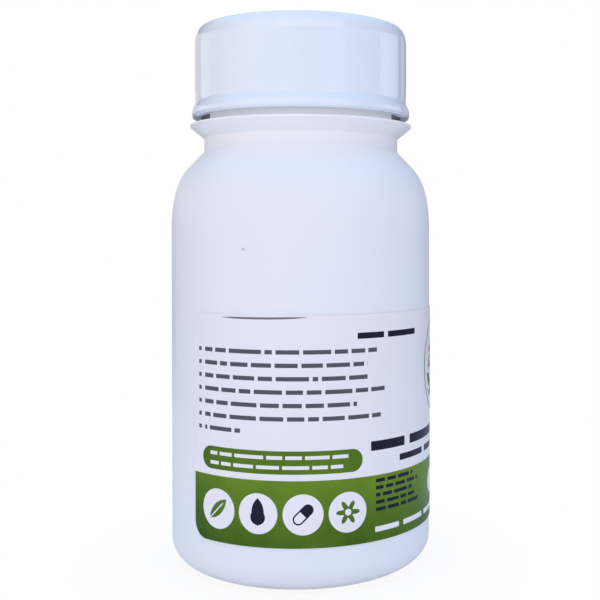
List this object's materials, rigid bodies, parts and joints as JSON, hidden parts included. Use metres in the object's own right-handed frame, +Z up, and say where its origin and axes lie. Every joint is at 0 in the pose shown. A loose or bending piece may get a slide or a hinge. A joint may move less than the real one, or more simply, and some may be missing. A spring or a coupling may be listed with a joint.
{
  "type": "supplement bottle",
  "caption": "Round white plastic bottle with a screw cap that turns and rises on its thread, a tamper ring left on the neck, and a wrapped label.",
  "frame": {"origin": "centre of the base, on the surface that the bottle stands on", "axes": "+Z up the axis that the cap turns about; +X towards the middle of the label; -X towards the bare strip between the label's ends"},
  "size_m": [0.0561, 0.0562, 0.1141],
  "materials": {
    "bottle_plastic": "satin white blow-moulded plastic",
    "ring_plastic": "satin white moulded plastic",
    "label_film": "satin white film with a printed green band",
    "cap_plastic": "glossy white moulded plastic",
    "liner_foam": "dull white foam"
  },
  "bodies": {
    "bottle": {"bottle": "bottle_plastic", "tamper_ring": "ring_plastic", "label": "label_film"},
    "liner": {"liner": "liner_foam"},
    "cap": {"cap": "cap_plastic"}
  },
  "joints": [
    {"name": "cap_rise", "type": "slide", "parent": "bottle", "child": "liner", "axis": [0, 0, 1], "range_m": [0, 0.00526]},
    {"name": "cap_turn", "type": "hinge", "parent": "liner", "child": "cap", "pos_m": [0, 0, 0.1], "axis": [0, 0, 1], "range_deg": [0, 450]}
  ],
  "couplings": [
    {"joint": "cap_rise", "follows": "cap_turn", "m_per_rad": 0.00066845}
  ]
}
